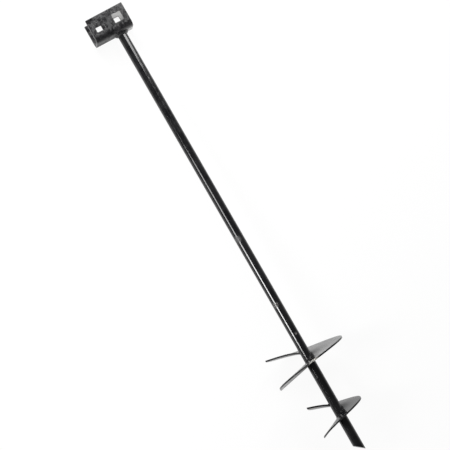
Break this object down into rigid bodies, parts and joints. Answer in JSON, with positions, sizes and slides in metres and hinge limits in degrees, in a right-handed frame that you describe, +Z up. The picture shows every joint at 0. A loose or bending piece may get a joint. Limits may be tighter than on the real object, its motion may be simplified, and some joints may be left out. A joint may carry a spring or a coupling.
{
  "type": "helix ground anchor",
  "caption": "Screw-in ground anchor lying down: round bar with a sheared point, a folded channel head with square bolt holes, and split round plates opened into helix turns.",
  "frame": {"origin": "middle of the bounding box on the ground that the anchor lies on", "axes": "+X along the lying anchor towards its point, +Y across it, +Z up from the ground"},
  "size_m": [0.9684, 0.152, 0.154],
  "materials": {
    "black_paint": "gloss"
  },
  "bodies": {
    "root": {"head_bracket": "black_paint", "head_weld": "black_paint", "rod": "black_paint", "upper_helix_plate": "black_paint", "upper_helix_weld": "black_paint", "lower_helix_plate": "black_paint", "lower_helix_weld": "black_paint"}
  },
  "joints": []
}
